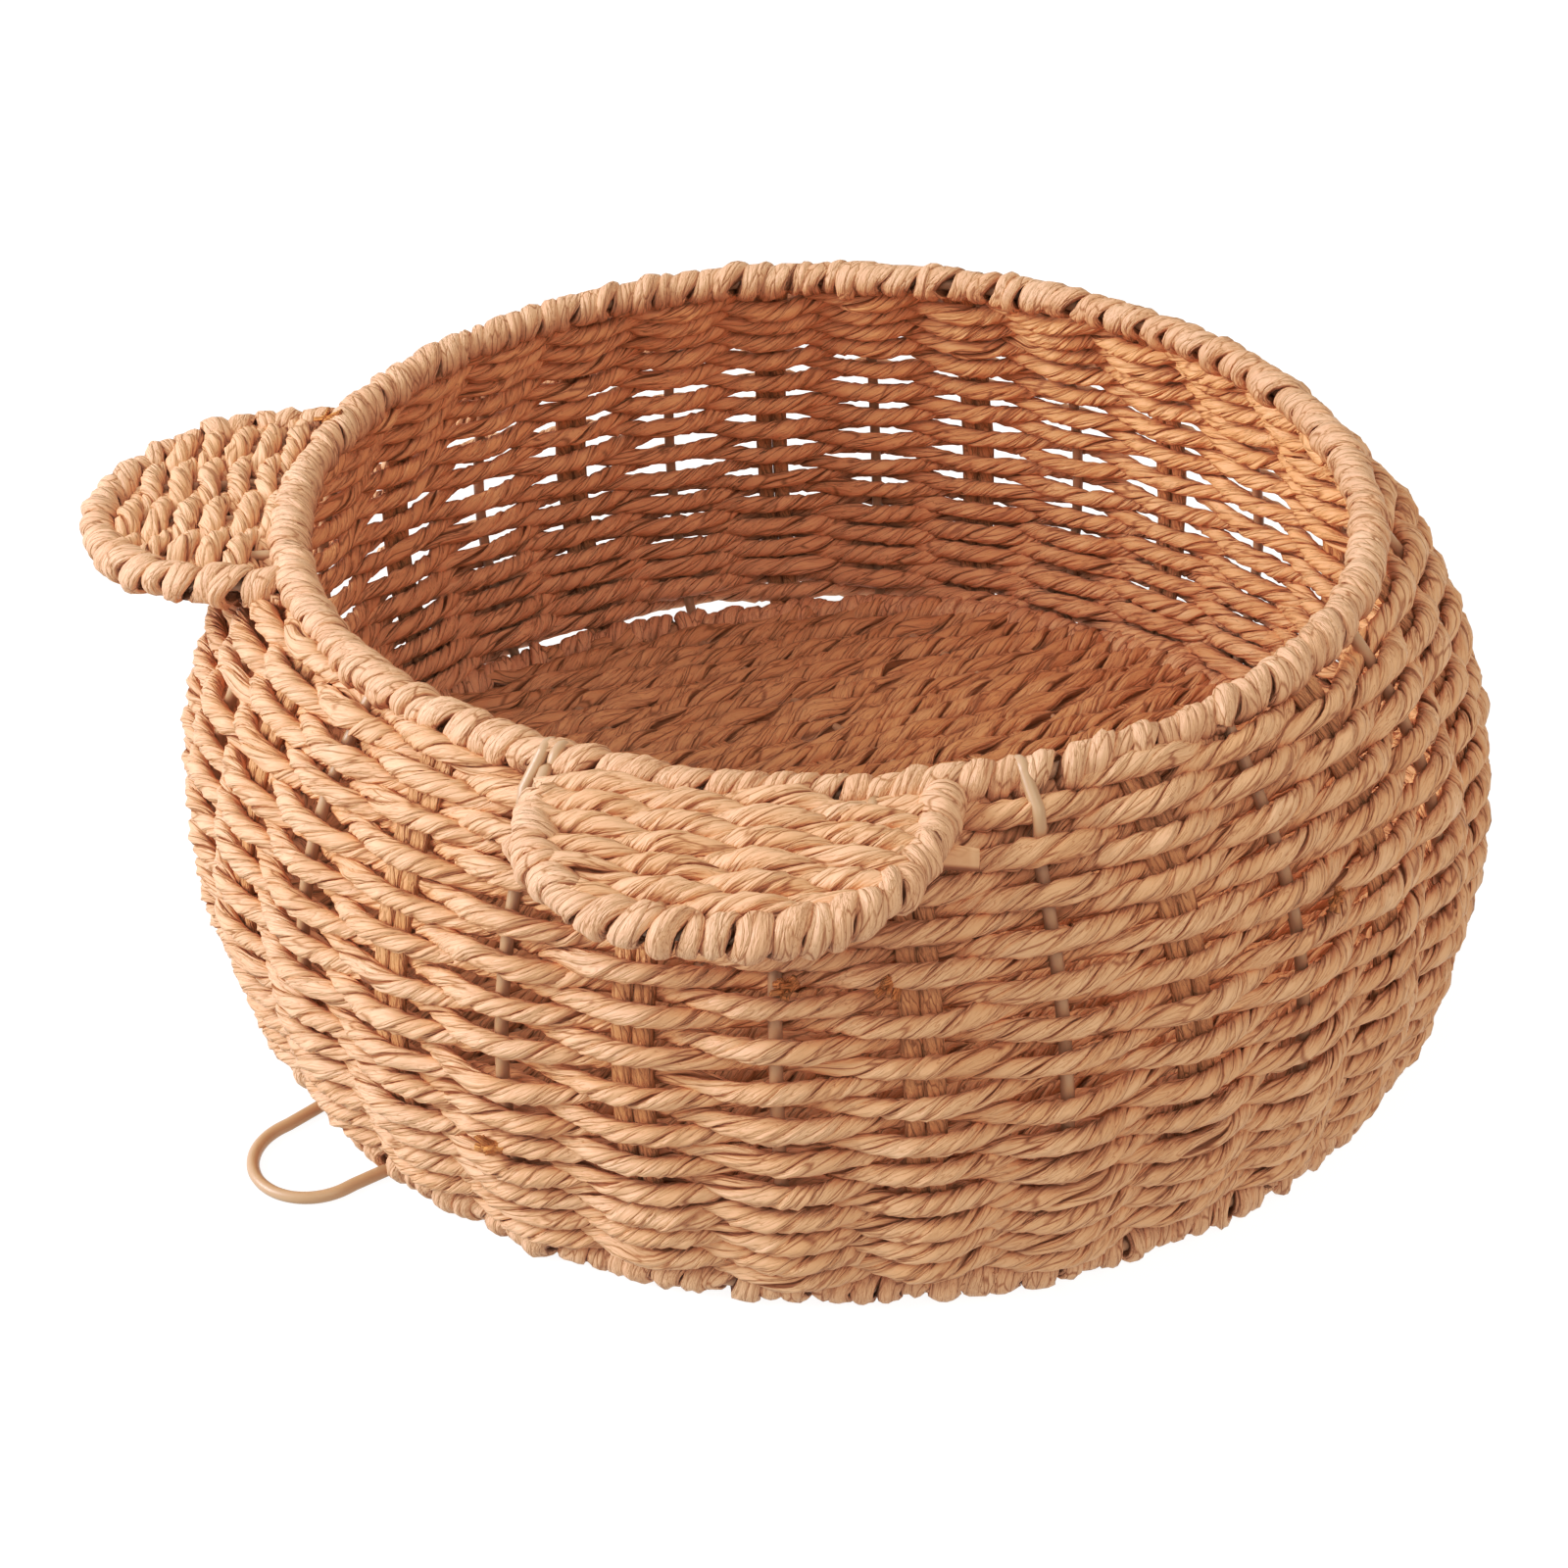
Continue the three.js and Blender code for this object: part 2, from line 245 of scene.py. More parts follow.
def base_reach(angle):
    """How far the base ring lies from its own middle."""
    return base_radius - far_bend * np.clip(np.cos(angle - far_side), 0, 1)**bend_sharpness


# The line of every stake up the wall, from the foot out to the belly and in to the rim

bow = 1.9 * mm
belly_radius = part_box("wire_stake_01")[1].x - stake_wire / 2 + bow
belly_height = 43.5 * mm
base_lean = math.radians(18)
rim_lean = math.radians(43)
foot_length = 30 * mm
base_fullness = 0.30
lower_fullness = 0.40
upper_fullness = 0.46
rim_fullness = 0.30


def bezier(points, count):
    share = np.linspace(0, 1, count)[:, None]
    a, b, c, d = (np.array(point) for point in points)
    rest = 1 - share
    return a * rest**3 + 3 * b * rest**2 * share + 3 * c * rest * share**2 + d * share**3


def wall_profile():
    lower = belly_height - base_height
    upper = rim_height - belly_height
    leave = base_fullness * lower
    reach = rim_fullness * upper
    from_base = bezier([
        (base_radius, base_height),
        (base_radius + leave * math.sin(base_lean), base_height + leave * math.cos(base_lean)),
        (belly_radius, belly_height - lower_fullness * lower),
        (belly_radius, belly_height)], 120)
    to_rim = bezier([
        (belly_radius, belly_height),
        (belly_radius, belly_height + upper_fullness * upper),
        (rim_radius + reach * math.sin(rim_lean), rim_height - reach * math.cos(rim_lean)),
        (rim_radius, rim_height)], 200)
    return np.concatenate([from_base, to_rim[1:]])


profile = wall_profile()
profile_travel = travel_along(profile)
profile_forward = directions(profile)
wall_length = profile_travel[-1]


def wall_at(travel, angle, out=0.0):
    """Points at a distance up the wall's line and an angle round it, and the wall's outward way.

    On the near side the wall's foot follows the base.
    """
    radius, height = (np.interp(travel, profile_travel, profile[:, i]) for i in (0, 1))
    flare, rise = (np.interp(travel, profile_travel, profile_forward[:, i]) for i in (0, 1))
    outward = np.stack([rise * np.cos(angle), rise * np.sin(angle), -flare], axis=-1)
    points = np.stack([radius * np.cos(angle), radius * np.sin(angle), height + 0 * angle], axis=-1)
    with_base = np.clip(1 - travel / foot_length, 0, 1) * np.clip(np.cos(angle - near_side), 0, 1)
    return points + outward * np.asarray(out)[..., None] + base_shift * with_base[..., None], outward


def strand(line, outward, thick, wide, sides, uneven=1.0, square=2.0, fibre_turn=0.0,
           fibre_squeeze=0.15, fibre_start=(0, 0, 0), tone=0.0, closed=False):
    """A tube along a line, thick outward and wide across, oval or as square as asked.

    Each point also keeps its place in the fibres, which run with the line and are longer the
    more they are squeezed, and its depth: 0 on the outward face and 1 on the face turned in.
    """
    steps = len(line)
    out, across = squared_to(line, outward, closed)
    thick = np.broadcast_to(thick, steps)[:, None]
    wide = np.broadcast_to(wide, steps)[:, None]
    turn = np.arange(sides) * (2 * math.pi / sides)
    cosine, sine = (np.sign(part) * np.abs(part)**(2 / square) for part in (np.cos(turn), np.sin(turn)))
    outs = cosine * thick / 2 * uneven
    sideways = sine * wide / 2 * uneven
    rings = line[:, None] + out[:, None] * outs[..., None] + across[:, None] * sideways[..., None]
    travel = travel_along(line)[:, None]
    fibre_angle = turn + travel * fibre_turn
    fibres = np.stack([
        np.cos(fibre_angle) * wide / 2,
        np.sin(fibre_angle) * wide / 2,
        np.broadcast_to(travel * fibre_squeeze, (steps, sides)),
    ], axis=-1) + np.asarray(fibre_start)
    depth = np.broadcast_to((1 - np.cos(turn)) / 2, (steps, sides))
    tones = np.broadcast_to(np.broadcast_to(tone, steps)[:, None], (steps, sides))
    return {"rings": rings, "fibres": fibres, "depth": depth, "tone": tones, "closed": closed}


def strand_faces(one, first):
    """The quads and end caps of one strand whose points start at a given number."""
    steps, sides = one["rings"].shape[:2]
    near = first + np.arange(steps * sides).reshape(steps, sides)
    if one["closed"]:
        far = np.roll(near, -1, axis=0)
        caps = []
    else:
        far = near[1:]
        near = near[:-1]
        caps = [near[0][::-1], far[-1]]
    quads = np.stack([near, np.roll(near, -1, 1), np.roll(far, -1, 1), far], axis=-1)
    return quads.reshape(-1, 4), caps, sides


def bake_corners(strand_sides, strand_quads):
    """Lays every strand's quads in strips that fill the unit square without overlap."""
    sides = max(strand_sides)
    lengths = [quads // n for quads, n in zip(strand_quads, strand_sides)]
    strips = max(1, round(math.sqrt(sum(lengths) / sides)))
    per_strip = math.ceil(sum(lengths) / strips)
    corners = []
    placed = 0
    for count, n in zip(lengths, strand_sides):
        place = placed + np.repeat(np.arange(count), n)
        side = np.tile(np.arange(n), count)
        left = (place % per_strip) / per_strip
        low = (place // per_strip + side / sides) / strips
        right = left + 1 / per_strip
        high = low + 1 / (sides * strips)
        quad = np.stack([left, low, left, high, right, high, right, low], axis=-1)
        corners.append(quad.reshape(-1, 4, 2))
        placed += count
    return np.concatenate(corners)


weave_depth = 3 * mm
rim_depth = 4 * mm
low_share = 0.2
full_height = 85 * mm


def painted_bounce_share(points):
    """How much painted bounce light points get in the basket's hollow: 0 on its outside, rim and ears,
    and 1 high within.
    """
    radius = np.interp(points[:, 2], profile[:, 1], profile[:, 0])
    past_wall = (radius - np.hypot(points[:, 0], points[:, 1])) / weave_depth + 0.5
    over_base = (points[:, 2] - base_height) / weave_depth + 0.5
    under_rim = (rim_height - points[:, 2]) / rim_depth
    # The painted bounce light grows up the wall, where more light reaches into the hollow.
    up_wall = low_share + points[:, 2] / full_height
    return np.prod(np.clip([past_wall, over_base, under_rim, up_wall], 0, 1), axis=0)


def woven_piece(name, strands, finish, nodes):
    """One mesh of strands with its finish. It rides on the basket and stands for CAD nodes.

    The handmade basket leans a little to the camera's left, and is pressed flat on the table.
    """
    firsts = np.cumsum([0] + [one["rings"].shape[0] * one["rings"].shape[1] for one in strands])
    made = [strand_faces(one, first) for one, first in zip(strands, firsts)]
    quads = np.concatenate([quads for quads, caps, sides in made])
    caps = [cap for quads, ends, sides in made for cap in ends]
    corners = np.concatenate([quads.ravel()] + caps).astype(np.int32)
    cap_sizes = np.array([len(cap) for cap in caps], dtype=np.int32)
    sizes = np.concatenate([np.full(len(quads), 4), cap_sizes])
    starts = np.concatenate([[0], np.cumsum(sizes)[:-1]]).astype(np.int32)
    mesh = bpy.data.meshes.new(name)
    mesh.vertices.add(int(firsts[-1]))
    mesh.loops.add(len(corners))
    mesh.polygons.add(len(sizes))
    points = np.concatenate([one["rings"].reshape(-1, 3) for one in strands])
    # Each point keeps its share of painted bounce light for the paper finish.
    painted_bounce = painted_bounce_share(points)
    points[:, 2] = np.maximum(points[:, 2], cad_low.z)
    share = np.sqrt((points[:, 2] - cad_low.z) / (cad_high.z - cad_low.z))
    points[:, :2] += np.outer(lean * share - lean_start, left_of_camera.xy)
    mesh.vertices.foreach_set("co", points.astype(np.float32).ravel())
    mesh.loops.foreach_set("vertex_index", corners)
    mesh.polygons.foreach_set("loop_start", starts)
    mesh.update(calc_edges=True)
    mesh.validate()
    mesh.shade_smooth()
    bake = np.zeros((len(corners), 2), np.float32)
    quad_corners = bake_corners([sides for q, c, sides in made], [len(q) for q, c, sides in made])
    bake[:len(quads) * 4] = quad_corners.reshape(-1, 2)
    mesh.uv_layers.new(name="OFBake").data.foreach_set("uv", bake.ravel())
    fibres = np.concatenate([one["fibres"].reshape(-1, 3) for one in strands])
    mesh.attributes.new("fibres", "FLOAT_VECTOR", "POINT").data.foreach_set(
        "vector", fibres.astype(np.float32).ravel())
    depth, tone = (np.concatenate([one[key].ravel() for one in strands]) for key in ("depth", "tone"))
    for key, values in (("depth", depth), ("tone", tone), ("painted_bounce", painted_bounce)):
        mesh.attributes.new(key, "FLOAT", "POINT").data.foreach_set("value", values.astype(np.float32))
    mesh.materials.append(finish)
    piece = bpy.data.objects.new(name, mesh)
    bpy.context.scene.collection.objects.link(piece)
    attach(piece, "root")
    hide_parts(*nodes)
    return piece


def mixed(tree, factor, a, b, blend="MIX"):
    """A colour between two others, or tinted by the second: each three numbers or a socket."""
    mix = add_node(tree, "ShaderNodeMix", data_type="RGBA", blend_type=blend)
    tree.links.new(factor, mix.inputs[0])
    for socket, value in zip([s for s in mix.inputs if s.type == "RGBA"], (a, b)):
        if isinstance(value, bpy.types.NodeSocket):
            tree.links.new(value, socket)
        else:
            socket.default_value = (*value, 1)
    return [s for s in mix.outputs if s.type == "RGBA"][0]


def khaki_enamel():
    finish, tree, shader = new_finish("khaki_enamel")
    place = add_node(tree, "ShaderNodeNewGeometry").outputs["Position"]
    patches = add_node(tree, "ShaderNodeTexNoise", {"Vector": place, "Scale": 90.0, "Detail": 3.0})
    tint = mixed(tree, patches.outputs["Fac"], (0.45, 0.285, 0.18), (0.56, 0.37, 0.25))
    tree.links.new(tint, shader.inputs["Base Color"])
    specks = add_node(tree, "ShaderNodeTexNoise", {"Vector": place, "Scale": 1400.0, "Detail": 2.0})
    dull = ranged(tree, specks.outputs["Fac"], 0.0, 1.0, 0.24, 0.42)
    tree.links.new(dull, shader.inputs["Roughness"])
    ripple = add_node(tree, "ShaderNodeBump", {
        "Height": specks.outputs["Fac"], "Strength": 0.25, "Distance": 0.05 * mm})
    tree.links.new(ripple.outputs["Normal"], shader.inputs["Normal"])
    return finish


enamel = khaki_enamel()


def round_wire(line, outward, diameter, closed=False):
    return strand(line, outward, diameter, diameter, wire_sides, closed=closed)


ring_steps = 240
ring_angles = np.linspace(0, 2 * math.pi, ring_steps, endpoint=False)
round_basket = np.stack([np.cos(ring_angles), np.sin(ring_angles), 0 * ring_angles], axis=-1)
rim_guide = round_basket * rim_radius + (0, 0, rim_height)
base_guide = base_shift + round_basket * base_reach(ring_angles)[:, None] + (0, 0, base_height)
for name, guide in (("rim_ring", rim_guide), ("base_ring", base_guide)):
    hoop = round_wire(guide, (0, 0, 1), ring_wire, closed=True)
    woven_piece(f"painted_{name}", [hoop], enamel, [name])

# Stakes

stake_count = 16
stake_spacing = 2 * math.pi / stake_count
stake_steps = 40
foot_steps = 5
hook_from = 15 * mm
hook_run = 6 * mm
hook_end = math.radians(130)
hook_steps = 16
stake_travel = np.linspace(ring_wire / 2, wall_length - ring_wire / 2, stake_steps)


def stake_line(angle, stand_out=0.0):
    """A stake from the base ring across to the wall's foot and up to the rim.

    Near the rim it can stand out in front of the weave.
    """
    near_rim = np.clip((stake_travel - (wall_length - hook_from)) / hook_run, 0, 1)
    line, outward = wall_at(stake_travel, np.full(stake_steps, angle), stand_out * near_rim)
    around = np.array([math.cos(angle), math.sin(angle), 0])
    start = base_shift + around * base_reach(angle) + (0, 0, base_height)
    foot = start + np.linspace(0, 1, foot_steps, endpoint=False)[:, None] * (line[0] - start)
    return np.concatenate([foot, line]), np.concatenate([np.repeat(outward[:1], foot_steps, 0), outward])


def rim_hook(angle, wire, swing_from):
    """The end of a wire bent over the rim ring, from a swing about it below or beside it."""
    swing = np.linspace(swing_from, hook_end, hook_steps)
    reach = (ring_wire + wire) / 2
    radius = rim_radius + reach * np.cos(swing)
    return np.stack([
        radius * math.cos(angle), radius * math.sin(angle), rim_height + reach * np.sin(swing)], axis=-1)


hooked_stakes = (13, 15)
hook_out = 5.6 * mm
for i in range(stake_count):
    angle = i * stake_spacing
    line, outward = stake_line(angle, hook_out if i in hooked_stakes else 0.0)
    if i in hooked_stakes:
        hook = rim_hook(angle, stake_wire, math.radians(45))
        line = np.concatenate([line[:-2], hook])
        outward = np.array([-math.sin(angle), math.cos(angle), 0])
    stake = round_wire(line, outward, stake_wire)
    woven_piece(f"painted_stake_{i + 1:02d}", [stake], enamel, [f"wire_stake_{i + 1:02d}"])

# Wires across the base

base_wire = 2.4 * mm
base_wire_steps = 12
base_wires = [f"base_wire_{i + 1}" for i in range(5)]
wire_places = [sum(corner.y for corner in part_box(name)) / 2 for name in base_wires]


def across_base(place, reach, count):
    """A straight line across the base at a distance from its middle."""
    half = math.sqrt(reach**2 - place**2)
    run = np.linspace(-half, half, count)
    return base_shift + np.stack([run, np.full(count, place), np.full(count, base_height)], axis=-1)


for name, place in zip(base_wires, wire_places):
    wire = round_wire(across_base(place, base_radius, base_wire_steps), (0, 0, 1), base_wire)
    woven_piece(f"painted_{name}", [wire], enamel, [name])

# Each ear's arc and ribs, drawn out from the rim on either side of the hanging loop

loop_direction = -math.pi / 2
ear_turn = math.radians(41.5)
ear_half = 38.0 * mm
ear_reach = 41.5 * mm
ear_tip = rim_radius + 44.4 * mm
ear_steps = 60
leg_steps = 12
ear_square = {"left": 2.05, "right": 2.4}
ear_centre = ear_tip - ear_reach
ear_drop = {"left": 2.0 * mm, "right": 0.6 * mm}
ear_droop = {"left": 3.0 * mm, "right": 1.8 * mm}
rib_count = 4
rib_spacing = 17 * mm
rib_steps = 10
ear_height = middle_height("ear_wire_left")
ears = {"left": loop_direction - ear_turn, "right": loop_direction + ear_turn}


def on_ear(side, out, aside, lift=0.0):
    """Points of an ear from their distance out from the axis and aside from the ear's middle.

    The ear hangs a little below the rim, and lower towards its tip.
    """
    out, aside, lift = np.broadcast_arrays(out, aside, lift)
    x = out * math.cos(ears[side]) - aside * math.sin(ears[side])
    y = out * math.sin(ears[side]) + aside * math.cos(ears[side])
    share = (out - rim_radius) / (ear_tip - rim_radius)
    return np.stack([x, y, ear_height - ear_drop[side] - ear_droop[side] * share + lift], axis=-1)


def ear_width(side, out):
    """Half the width of an ear's arc at a distance out from the axis."""
    share = np.clip((out - ear_centre) / ear_reach, 0, 1)
    return ear_half * (1 - share**ear_square[side])**(1 / ear_square[side])


def ear_arc(side, from_axis, count):
    """An ear's arc, straight out from the rim and round, with both ends at a distance from the axis."""
    swing = np.linspace(-math.pi / 2, math.pi / 2, 4 * count)
    out = ear_centre + ear_reach * np.abs(np.cos(swing))**(2 / ear_square[side])
    aside = ear_half * np.sign(swing) * np.abs(np.sin(swing))**(2 / ear_square[side])
    start = math.sqrt(from_axis**2 - ear_half**2)
    legs = np.linspace(start, ear_centre, leg_steps, endpoint=False)
    out = np.concatenate([legs, out, legs[::-1]])
    aside = np.concatenate([legs * 0 - ear_half, aside, legs * 0 + ear_half])
    travel = travel_along(np.stack([out, aside], axis=-1))
    even = np.linspace(0, travel[-1], count)
    return on_ear(side, np.interp(even, travel, out), np.interp(even, travel, aside))


for side in ears:
    arc = ear_arc(side, rim_radius + (ring_wire + ear_wire) / 2, ear_steps)
    if side == "right":
        beside_stake = hooked_stakes[0] * stake_spacing + stake_wire / rim_radius
        arc = np.concatenate([rim_hook(beside_stake, ear_wire, 0)[:0:-1], arc[1:]])
    woven_piece(f"painted_ear_wire_{side}", [round_wire(arc, (0, 0, 1), ear_wire)], enamel,
                [f"ear_wire_{side}"])
    for i in range(rib_count):
        aside = (i - (rib_count - 1) / 2) * rib_spacing
        start = math.sqrt((rim_radius + ring_wire / 2)**2 - aside**2)
        end_share = (1 - (abs(aside) / ear_half)**ear_square[side])**(1 / ear_square[side])
        end = ear_centre + ear_reach * end_share
        rib = round_wire(on_ear(side, np.linspace(start, end, rib_steps), aside), (0, 0, 1), rib_wire)
        name = f"ear_rib_{side}_{i + 1}"
        woven_piece(f"painted_{name}", [rib], enamel, [name])


# Hanging loop
# A narrow U of the same painted wire. Its legs are welded under the base ring and its bend
# stands out past the edge of the base, to hang on a nail.

loop_wire = 2.75 * mm
loop_aside = -0.6 * mm
loop_tuck = 0.8 * mm
loop_splay = 0.085
loop_overlap = 4 * mm
loop_height = base_height - (ring_wire + loop_wire) / 2
loop_low, loop_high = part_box("hanging_loop")
loop_half = (loop_high.x - loop_low.x - loop_wire) / 2
loop_bend = -loop_low.y - loop_tuck - loop_wire / 2 - loop_half


def hanging_loop_line():
    leg = np.linspace(base_radius - loop_overlap, loop_bend, 10, endpoint=False)
    swing = np.linspace(-math.pi / 2, math.pi / 2, 40)
    out = np.concatenate([leg, loop_bend + loop_half * np.cos(swing), leg[::-1]])
    legs_apart = loop_half + loop_splay * (leg[-1] - leg)
    aside = np.concatenate([-legs_apart, loop_half * np.sin(swing), legs_apart[::-1]])
    return np.stack([loop_aside + aside, -out, out * 0 + loop_height], axis=-1)


woven_piece("painted_hanging_loop", [round_wire(hanging_loop_line(), (0, 0, 1), loop_wire)], enamel,
            ["hanging_loop"])


# Paper stakes
# Between the wires, two flat cords of rolled paper run side by side up the wall, and the
# same pairs run across the base. The weavers pass over and under each pair as one stake.

cord_thick = 2.1 * mm
cord_wide = 4.3 * mm
cord_sides = 10
cord_square = 2.6
cord_apart = 0.49 * cord_wide
cord_fibre_lay = 60 * mm


def drift(rng, steps, reach, columns=None):
    """Smooth seeded noise along a number of steps, which changes about once in each reach."""
    knots = max(4, int(steps / reach) + 2)
    shape = (knots,) if columns is None else (knots, columns)
    lattice = rng.normal(0, 1, shape)
    place = np.linspace(0, knots - 1.001, steps)
    low = place.astype(int)
    share = place - low
    share = share * share * (3 - 2 * share)
    if columns is not None:
        share = share[:, None]
    return lattice[low] * (1 - share) + lattice[low + 1] * share


def paper(name, pale, warm, crease_shade, fold_size, groove):
    """Matt kraft paper: flat facets between sharp folds that run along the strand, with painted shade
    along the folds, the fine wrinkles and the grooves between plies.

    The painted groove shade lies where the strand's own depth goes from one given value to the other,
    so a groove from 1 up leaves it out.
    The paper in the basket's hollow is painted brighter and warmer, most high on the wall: painted
    bounce light.
    """
    finish, tree, shader = new_finish(name)

    def maths(operation, *values):
        return add_node(tree, "ShaderNodeMath", dict(enumerate(values)), operation=operation).outputs[0]

    def noise(size, detail, distortion=0.0):
        return add_node(tree, "ShaderNodeTexNoise", {
            "Vector": place, "Scale": 1 / size, "Detail": detail, "Roughness": 0.5,
            "Distortion": distortion}).outputs["Fac"]

    def vectors(operation, *values):
        values = dict(enumerate(values))
        return add_node(tree, "ShaderNodeVectorMath", values, operation=operation).outputs

    def facets(size):
        """How far a place lies from the nearest fold, and how high on its own tilted facet."""
        cells = {"Vector": place, "Scale": 1 / size}
        facet = add_node(tree, "ShaderNodeTexVoronoi", cells).outputs
        folds = add_node(tree, "ShaderNodeTexVoronoi", cells, feature="DISTANCE_TO_EDGE").outputs
        from_middle = vectors("SUBTRACT", place, facet["Position"])["Vector"]
        slope = vectors("SUBTRACT", facet["Color"], (0.5, 0.5, 0.5))["Vector"]
        tilt = maths("DIVIDE", vectors("DOT_PRODUCT", from_middle, slope)["Value"], size)
        return ranged(tree, folds["Distance"], 0.0, 0.2, smooth=False), tilt

    def wrinkles(size):
        """How far a place lies from the nearest fine wrinkle: 0 on it and 1 between."""
        from_line = maths("ABSOLUTE", maths("SUBTRACT", noise(size, 1.0, 0.2), 0.5))
        return ranged(tree, from_line, 0.0, 0.14, smooth=False)

    place = add_node(tree, "ShaderNodeAttribute", attribute_name="fibres").outputs["Vector"]
    depth = add_node(tree, "ShaderNodeAttribute", attribute_name="depth").outputs["Fac"]
    tone = add_node(tree, "ShaderNodeAttribute", attribute_name="tone").outputs["Fac"]
    painted_bounce = add_node(tree, "ShaderNodeAttribute", attribute_name="painted_bounce").outputs["Fac"]
    painted_bounce_tint = (1.22, 1.17, 1.05)
    facet_tilt = 2.2
    wrinkle_height = 0.35
    fibre_height = 0.12
    relief_height = 0.31 * mm
    broad, tilt = facets(fold_size * 1.5)
    fine = wrinkles(fold_size * 0.42)
    patches = noise(fold_size * 2.4, 1.0)
    fibres = noise(fold_size * 0.16, 2.0)
    height = maths("MULTIPLY_ADD", tilt, facet_tilt, broad)
    height = maths("MULTIPLY_ADD", fibres, fibre_height, height)
    height = maths("MULTIPLY_ADD", fine, wrinkle_height, height)
    relief = add_node(tree, "ShaderNodeBump", {
        "Height": height, "Strength": 1.0, "Distance": relief_height})
    tree.links.new(relief.outputs["Normal"], shader.inputs["Normal"])
    sheet = mixed(tree, ranged(tree, tone, -2.2, 2.2, smooth=False), warm, pale)
    mottled = mixed(tree, ranged(tree, patches, 0.35, 0.7, 0.0, 0.25), sheet, warm)
    streaked = mixed(tree, ranged(tree, fibres, 0.45, 0.75, 0.0, 0.2), mottled, warm)
    # Painted shade along the broad folds and the fine wrinkles, where the paper is much folded.
    much_folded = ranged(tree, patches, 0.40, 0.52, 0.1, 1.0)
    fold_shade = maths("MULTIPLY", ranged(tree, broad, 0.0, 0.3, 0.65, 0.0), much_folded)
    much_wrinkled = ranged(tree, patches, 0.60, 0.44)
    wrinkle_shade = maths("MULTIPLY", ranged(tree, fine, 0.0, 0.3, 0.4, 0.0), much_wrinkled)
    shaded_folds = mixed(tree, maths("ADD", fold_shade, wrinkle_shade), streaked, crease_shade)
    # Painted shade in the groove between plies, where the strand turns inward.
    shaded_grooves = mixed(tree, ranged(tree, depth, *groove, 0.0, 0.9), shaded_folds, crease_shade)
    # Painted bounce light: the colour in the hollow is brightened and warmed.
    tree.links.new(mixed(tree, painted_bounce, shaded_grooves, painted_bounce_tint, "MULTIPLY"), shader.inputs["Base Color"])
    tree.links.new(ranged(tree, fibres, 0.3, 0.7, 0.5, 0.66), shader.inputs["Roughness"])
    shader.inputs["Specular IOR Level"].default_value = 0.4
    return finish


# The third colour is the painted shade in folds and grooves.
cord_paper = paper("rolled_paper_cord", (0.75, 0.43, 0.25), (0.64, 0.34, 0.18), (0.26, 0.095, 0.035),
                   0.9 * mm, (1.0, 2.0))


def paper_pair(line, outward, rng):
    """Two flat cords side by side along a line."""
    out, across = squared_to(line, outward)
    steps = len(line)
    cords = []
    for side in (-1, 1):
        uneven = 1 + 0.07 * drift(rng, steps, 5, cord_sides)
        cords.append(strand(
            line + across * (side * cord_apart), out, cord_thick, cord_wide, cord_sides, uneven,
            cord_square, fibre_turn=2 * math.pi / cord_fibre_lay,
            fibre_start=rng.uniform(0, 1, 3), tone=drift(rng, steps, 9)))
    return cords


cord_chance = np.random.default_rng(11)
for i in range(stake_count):
    pair_line, pair_outward = stake_line((i + 0.5) * stake_spacing)
    pair = paper_pair(pair_line, pair_outward, cord_chance)
    woven_piece(f"paper_pair_{i + 1:02d}", pair, cord_paper, [f"paper_stake_pair_{i + 1:02d}"])


# Base weave
# Rows of two-ply paper rope lie side by side across the base, at a slant to the wires and the
# paper pairs between them, and go over and under both.

rope_lay = 17.6 * mm
rope_step = 1.76 * mm
ply_sides = 12
ply_thick = 2.9 * mm
ply_wide = 4.6 * mm
ply_offset = 1.05 * mm
ply_square = 2.6
ply_fibre_lay = 70 * mm
twist_waver = 0.8
ply_waver = 0.16
ply_swell = 0.10
ply_unevenness = 0.09
# The third colour is the painted shade in folds and grooves.
rope_paper = paper("twisted_paper_rope", (0.80, 0.495, 0.325), (0.70, 0.395, 0.235), (0.27, 0.10, 0.04),
                   1.9 * mm, (0.62, 0.78))


def rope(line, outward, size, rng, lay=rope_lay):
    """Two plies of soft flattened paper, laid left-handed round each other along a line."""
    steps = len(line)
    out, across = squared_to(line, outward)
    turn = travel_along(line) * (2 * math.pi / lay) + rng.uniform(0, 2 * math.pi)
    turn = turn + twist_waver * drift(rng, steps, 8)
    size = np.broadcast_to(size, steps)
    plies = []
    for half_turn in (0, math.pi):
        swing = (turn + half_turn + ply_waver * drift(rng, steps, 6))[:, None]
        away = np.cos(swing) * out - np.sin(swing) * across
        fullness = size * (1 + ply_swell * drift(rng, steps, 5))
        middle = line + away * (ply_offset * size)[:, None]
        uneven = 1 + ply_unevenness * drift(rng, steps, 4, ply_sides)
        plies.append(strand(
            middle, away, ply_thick * fullness, ply_wide * fullness, ply_sides, uneven, ply_square,
            fibre_turn=-2 * math.pi / ply_fibre_lay, fibre_start=rng.uniform(0, 1, 3),
            tone=drift(rng, steps, 9)))
    return plies


# The third colour is the painted shade in folds and grooves.
base_paper = paper("base_paper_rope", (0.72, 0.425, 0.255), (0.62, 0.335, 0.18), (0.24, 0.085, 0.03),
                   1.9 * mm, (0.50, 0.72))
base_row_pitch = 6.2 * mm
base_lay = 22 * mm
base_rope_size = 1.15
base_turn = math.radians(18)
base_swing = 0.7 * mm
row_waver = 0.55 * mm
end_waver = 0.8 * mm
edge_gap = 1.0 * mm
base_edge = base_radius - edge_gap
edge_rise = 1.2 * mm
edge_run = 10 * mm
edge_steps = 400
stakes_per_wire = 3
cross_spacing = (wire_places[1] - wire_places[0]) / stakes_per_wire
cross_steps = 60
base_chance = np.random.default_rng(23)


